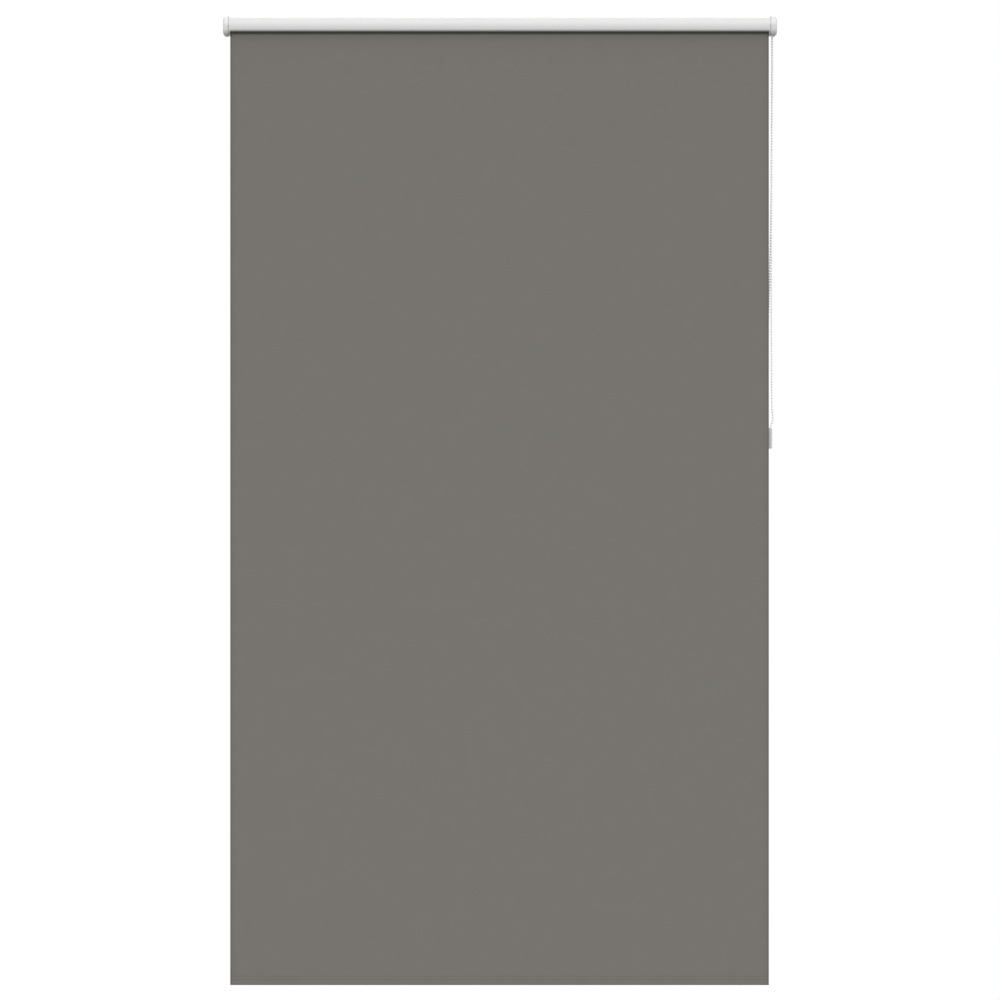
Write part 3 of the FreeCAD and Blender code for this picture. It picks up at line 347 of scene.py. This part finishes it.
SMOOTH_ANGLE = math.radians(32)


def finish_nodes():
    """Give each CAD piece its material, smooth where its faces meet gently."""
    for material, names in NODE_MATERIALS.items():
        for name in names:
            mesh = nodes[name].data
            mesh.materials.clear()
            mesh.materials.append(material)
            mesh.shade_smooth()
            mesh.set_sharp_from_angle(angle=SMOOTH_ANGLE)


# ---- Mesh helpers ----


def new_object(name, vertices, faces, material, uvs=None):
    mesh = bpy.data.meshes.new(name)
    mesh.from_pydata([tuple(v) for v in vertices], [], [tuple(f) for f in faces])
    mesh.validate()
    if uvs is not None:
        layer = mesh.uv_layers.new(name="length")
        for loop in mesh.loops:
            layer.data[loop.index].uv = uvs[loop.vertex_index]
    mesh.materials.append(material)
    mesh.shade_smooth()
    mesh.set_sharp_from_angle(angle=SMOOTH_ANGLE)
    thing = bpy.data.objects.new(name, mesh)
    bpy.context.scene.collection.objects.link(thing)
    return thing


def strip(name, line, across, thick, material, ripple=None):
    """A thin sheet: line is its path in (y, z), carried across at each x, thick through.

    ripple(x, z) moves it out of its plane.
    """
    line = np.array(line, float)
    tangent = np.gradient(line, axis=0)
    tangent /= np.linalg.norm(tangent, axis=1)[:, None]
    normal = np.stack([-tangent[:, 1], tangent[:, 0]], axis=1)
    travel = np.concatenate([[0], np.cumsum(np.linalg.norm(np.diff(line, axis=0), axis=1))])
    vertices, uvs = [], []
    for side in (1, -1):
        layer = line + normal * thick / 2 * side
        for x in across:
            for (y, z), distance in zip(layer, travel):
                shift = ripple(x, z) if ripple else 0.0
                vertices.append((x, y + shift, z))
                uvs.append((x, distance))
    rows, columns = len(across), len(line)
    back = rows * columns
    faces = []
    for i in range(rows - 1):
        for j in range(columns - 1):
            a = i * columns + j
            b, c, d = a + columns, a + columns + 1, a + 1
            faces.append((a, b, c, d))
            faces.append((back + d, back + c, back + b, back + a))
    for i in range(rows - 1):
        for j, flip in ((0, False), (columns - 1, True)):
            a = i * columns + j
            b = a + columns
            edge = (a, back + a, back + b, b)
            faces.append(edge[::-1] if flip else edge)
    for j in range(columns - 1):
        for i, flip in ((0, True), (rows - 1, False)):
            a = i * columns + j
            edge = (a, back + a, back + a + 1, a + 1)
            faces.append(edge[::-1] if flip else edge)
    return new_object(name, vertices, faces, material, uvs)


def stations(low, high, count, edge=()):
    """Evenly spaced positions from low to high, with extra ones near each end."""
    even = [low + (high - low) * i / count for i in range(count + 1)]
    extra = [low + step for step in edge] + [high - step for step in edge]
    return sorted(set(even + extra))


def arc(centre, radius, start, end, steps):
    """Points round a circle in the (y, z) plane, angles in degrees from +Y towards +Z."""
    turns = [math.radians(start + (end - start) * i / steps) for i in range(steps + 1)]
    return [(centre[0] + radius * math.cos(a), centre[1] + radius * math.sin(a)) for a in turns]


# ---- Cloth ----


LOOSE_BELOW = 0.25
LOOSE_ABOVE = 0.15
CURL_WIDTH = 0.012
CURL = 0.35 * MM
DROP_COLUMNS = 120
DROP_ROWS = 180
ROLL_COLUMNS = 24
HEM_COLUMNS = 48
INNER_TURNS = 1.25


def cloth_ripple(x, z):
    """A barely uneven hang: broad soft waves, and side edges that curl back a little."""
    depth = min(1.0, max(0.0, -z / LOOSE_BELOW)) * min(1.0, max(0.0, (z - hem_top) / LOOSE_ABOVE))
    waves = 0.22 * MM * math.sin(x * 5.1 + 0.7) + 0.12 * MM * math.sin(x * 13.7 + 2.1)
    edge = max(0.0, 1 - min(x - cloth_left, cloth_right - x) / CURL_WIDTH)
    return depth * (waves + CURL * edge ** 2)


def make_drop():
    across = stations(cloth_left, cloth_right, DROP_COLUMNS, (0.001, 0.002, 0.003, 0.0045, 0.006, 0.009))
    line = [(cloth_y, z) for z in stations(hem_top, 0.0, DROP_ROWS, (0.002, 0.005))][::-1]
    drop = strip("cloth_drop", line, across, cloth_thick, hanging_cloth, cloth_ripple)
    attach(drop, "headrail")
    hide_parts("fabric_drop")
    return drop


def make_lap():
    """The outermost turn of cloth, over the top of the roll and round under it."""
    radius = axis_y - cloth_y
    line = arc(axis_line, radius, 180, -148, 96)
    lap = strip("cloth_lap", line, stations(cloth_left, cloth_right, ROLL_COLUMNS), cloth_thick, wound_cloth)
    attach(lap, "headrail")
    return lap


def make_roll():
    """The turns of cloth beneath, wound in a spiral on the tube."""
    start = tube_radius + 0.45 * MM
    end = roll_radius - cloth_thick / 2
    steps = 150
    line = []
    for i in range(steps + 1):
        angle = math.radians(60 + 360 * INNER_TURNS * i / steps)
        radius = start + (end - start) * i / steps
        line.append((axis_y + radius * math.cos(angle), axis_z + radius * math.sin(angle)))
    roll = strip("cloth_roll", line, stations(cloth_left, cloth_right, ROLL_COLUMNS), 0.26 * MM, wound_cloth)
    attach(roll, "roller")
    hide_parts("fabric_roll")
    return roll


def smooth_step(t):
    return t * t * (3 - 2 * t)


def make_hem():
    """The pocket: cloth straight down, round under the bar, up behind it and welded to itself."""
    back = hem_high.y - cloth_thick / 2
    radius = (back - cloth_y) / 2
    bottom = hem_bottom + cloth_thick / 2 + radius
    behind = cloth_y + cloth_thick
    parting = bar_high.z + 3.6 * MM
    shoulder = 4.2 * MM
    press = 0.09 * MM

    def front(depth):
        """The front layer at a depth below the hem's top, pushed in along each weld."""
        inwards = 0.0
        for place in WELDS:
            away = abs(depth - place) / (WELD_AND_SHADE_WIDTH / 2)
            if away < 1:
                inwards += press * (1 + math.cos(math.pi * away)) / 2
        return (cloth_y + inwards, hem_top - depth)

    reach = hem_top - bottom
    line = [front(reach * i / 60) for i in range(60)]
    line += arc((cloth_y + radius, bottom), radius, 180, 360, 22)
    line += [(back, bottom + (parting - shoulder - bottom) * i / 4) for i in range(1, 4)]
    for i in range(13):
        t = i / 12
        line.append((back + (behind - back) * smooth_step(t), parting - shoulder * (1 - t)))
    line += [(behind, parting + (hem_top - parting) * i / 8) for i in range(1, 9)]
    across = stations(cloth_left, cloth_right, HEM_COLUMNS, (0.002, 0.004))
    hem = strip("cloth_hem", line, across, cloth_thick, hem_cloth)
    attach(hem, "bottom_rail")
    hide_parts("fabric_hem")
    return hem


def make_pin_spring():
    """The coil behind the sprung pin, as a plain copy carried with the roller; in the real blind it shortens
    as the pin is pushed in.
    """
    spring = nodes["idle_spring"].copy()
    spring.data = nodes["idle_spring"].data.copy()
    spring.name = "pin_spring"
    bpy.context.scene.collection.objects.link(spring)
    for key in list(spring.keys()):
        del spring[key]
    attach(spring, "roller")
    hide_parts("idle_spring")
    return spring


# ---- Ball chain ----

BEAD_RADIUS = 2.25 * MM
BEAD_PITCH = 6 * MM
COLLAR_RADIUS = 0.95 * MM
THREAD_RADIUS = 0.6 * MM
THREAD_SIDES = 8
CHAIN_ROUTE = [
    (0.5902, -0.03655, -0.016),
    (0.5906, -0.0363, -0.062),
    (0.5901, -0.0360, -0.140),
    (0.5888, -0.0352, -0.250),
    (0.5883, -0.0339, -0.400),
    (0.5878, -0.0322, -0.590),
    (0.5886, -0.0306, -0.715),
    (0.5889, -0.0293, -0.785),
    (0.5901, -0.0282, -0.830),
    (0.5916, -0.0274, -0.853),
    (0.5863, -0.0270, -0.865),
    (0.5863, -0.0270, -0.882),
    (0.5773, -0.0270, -0.882),
    (0.5773, -0.0270, -0.865),
    (0.5766, -0.0269, -0.850),
    (0.5773, -0.0264, -0.815),
    (0.5792, -0.0254, -0.740),
    (0.5816, -0.0242, -0.645),
    (0.5860, -0.0228, -0.510),
    (0.5883, -0.0210, -0.370),
    (0.5892, -0.0193, -0.230),
    (0.5898, -0.0181, -0.100),
    (0.5902, -0.01745, -0.016),
]


def chain_line():
    """Points along the chain's own smooth line."""
    curve = bpy.data.curves.new("chain_route", "CURVE")
    curve.dimensions = "3D"
    spline = curve.splines.new("NURBS")
    spline.points.add(len(CHAIN_ROUTE) - 1)
    for point, place in zip(spline.points, CHAIN_ROUTE):
        point.co = (*place, 1)
    spline.order_u = 3
    spline.use_endpoint_u = True
    spline.resolution_u = 24
    holder = bpy.data.objects.new("chain_route", curve)
    bpy.context.scene.collection.objects.link(holder)
    bpy.context.view_layer.update()
    mesh = bpy.data.meshes.new_from_object(holder)
    points = [Vector(v.co) for v in mesh.vertices]
    bpy.data.objects.remove(holder)
    bpy.data.curves.remove(curve)
    bpy.data.meshes.remove(mesh)
    return points


def line_length(points):
    return sum((b - a).length for a, b in zip(points, points[1:]))


def walk(points, distances):
    """The point and direction at each distance along the line, in rising order."""
    found = []
    passed = 0.0
    i = 0
    for distance in distances:
        while i < len(points) - 2 and passed + (points[i + 1] - points[i]).length < distance:
            passed += (points[i + 1] - points[i]).length
            i += 1
        along = points[i + 1] - points[i]
        found.append((points[i] + along.normalized() * (distance - passed), along.normalized()))
    return found


def turned_along(bm, centre, along, profile, sides=14):
    """A closed body of revolution about a direction: profile is (distance along, radius)."""
    turn = Vector((0, 0, 1)).rotation_difference(along)
    rings = []
    for distance, radius in profile:
        if radius == 0:
            rings.append([bm.verts.new(centre + turn @ Vector((0, 0, distance)))])
            continue
        ring = []
        for i in range(sides):
            angle = 2 * math.pi * i / sides
            offset = Vector((radius * math.cos(angle), radius * math.sin(angle), distance))
            ring.append(bm.verts.new(centre + turn @ offset))
        rings.append(ring)
    for lower, upper in zip(rings, rings[1:]):
        for i in range(sides):
            j = (i + 1) % sides
            if len(lower) == 1:
                bm.faces.new((lower[0], upper[j], upper[i]))
            elif len(upper) == 1:
                bm.faces.new((lower[i], lower[j], upper[0]))
            else:
                bm.faces.new((lower[i], lower[j], upper[j], upper[i]))


def bead_profile():
    """A bead's outline, as (distance along the chain, radius), closed at both ends."""
    reach = math.sqrt(BEAD_RADIUS ** 2 - COLLAR_RADIUS ** 2)
    turn = math.atan2(reach, COLLAR_RADIUS)
    profile = [(-reach - 0.35 * MM, THREAD_RADIUS), (-reach - 0.25 * MM, COLLAR_RADIUS),
               (-reach, COLLAR_RADIUS)]
    for i in range(1, 8):
        angle = -turn + 2 * turn * i / 8
        profile.append((BEAD_RADIUS * math.sin(angle), BEAD_RADIUS * math.cos(angle)))
    profile += [(-distance, radius) for distance, radius in profile[2::-1]]
    return [(profile[0][0], 0)] + profile + [(profile[-1][0], 0)]


def add_thread(bm, stops):
    """A closed thin tube through the stops, each a point and a direction."""
    circle = []
    for i in range(THREAD_SIDES):
        angle = 2 * math.pi * i / THREAD_SIDES
        circle.append(Vector((THREAD_RADIUS * math.cos(angle), THREAD_RADIUS * math.sin(angle), 0)))
    rings = []
    for centre, along in stops:
        turn = Vector((0, 0, 1)).rotation_difference(along)
        rings.append([bm.verts.new(centre + turn @ offset) for offset in circle])
    for lower, upper in zip(rings, rings[1:]):
        start = min(range(THREAD_SIDES), key=lambda k: (upper[k].co - lower[0].co).length)
        upper = upper[start:] + upper[:start]
        for i in range(THREAD_SIDES):
            j = (i + 1) % THREAD_SIDES
            bm.faces.new((lower[i], lower[j], upper[j], upper[i]))
    bm.faces.new(rings[0][::-1])
    bm.faces.new(rings[-1])


def make_chain():
    """A string of moulded beads, each with a little collar where the thread enters."""
    points = chain_line()
    length = line_length(points)
    margin = BEAD_PITCH / 3
    count = round((length - 2 * margin) / BEAD_PITCH)
    pitch = (length - 2 * margin) / count
    profile = bead_profile()
    bm = bmesh.new()
    for centre, along in walk(points, [margin + pitch * i for i in range(count + 1)]):
        turned_along(bm, centre, along, profile)
    add_thread(bm, walk(points, [length * i / (count * 2) for i in range(count * 2 + 1)]))
    mesh = bpy.data.meshes.new("ball_chain")
    bm.to_mesh(mesh)
    bm.free()
    mesh.materials.append(glowing_bead_plastic)
    mesh.shade_smooth()
    chain = bpy.data.objects.new("ball_chain", mesh)
    bpy.context.scene.collection.objects.link(chain)
    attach(chain, "headrail")
    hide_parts("chain_loop")


def make_floor():
    mesh = bpy.data.meshes.new("floor")
    level = cad_box[0][2] - FLOOR_DROP
    corners = [(-FLOOR_SIDE, -FLOOR_FRONT, level), (FLOOR_SIDE, -FLOOR_FRONT, level),
               (FLOOR_SIDE, FLOOR_REAR, level), (-FLOOR_SIDE, FLOOR_REAR, level)]
    mesh.from_pydata(corners, [], [(0, 1, 2, 3)])
    material, tree, shader = new_material("floor_paint", (0.84, 0.84, 0.84), 0.7)
    shade(tree, shader, noise(tree, place_of(tree), 2.0), (0.83, 0.83, 0.83), (0.86, 0.86, 0.86))
    mesh.materials.append(material)
    floor = bpy.data.objects.new("floor", mesh)
    bpy.context.scene.collection.objects.link(floor)
    floor.visible_diffuse = False


# ---- The whole scene ----

bpy.context.scene.view_settings.view_transform = "Standard"
make_camera()
make_chain()
make_world()
for sun_name, settings in SUNS.items():
    make_sun(sun_name, *settings)
make_floor()
finish_nodes()
drop = make_drop()
lap = make_lap()
roll = make_roll()
hem = make_hem()
spring = make_pin_spring()
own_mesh(drop)
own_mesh(spring)
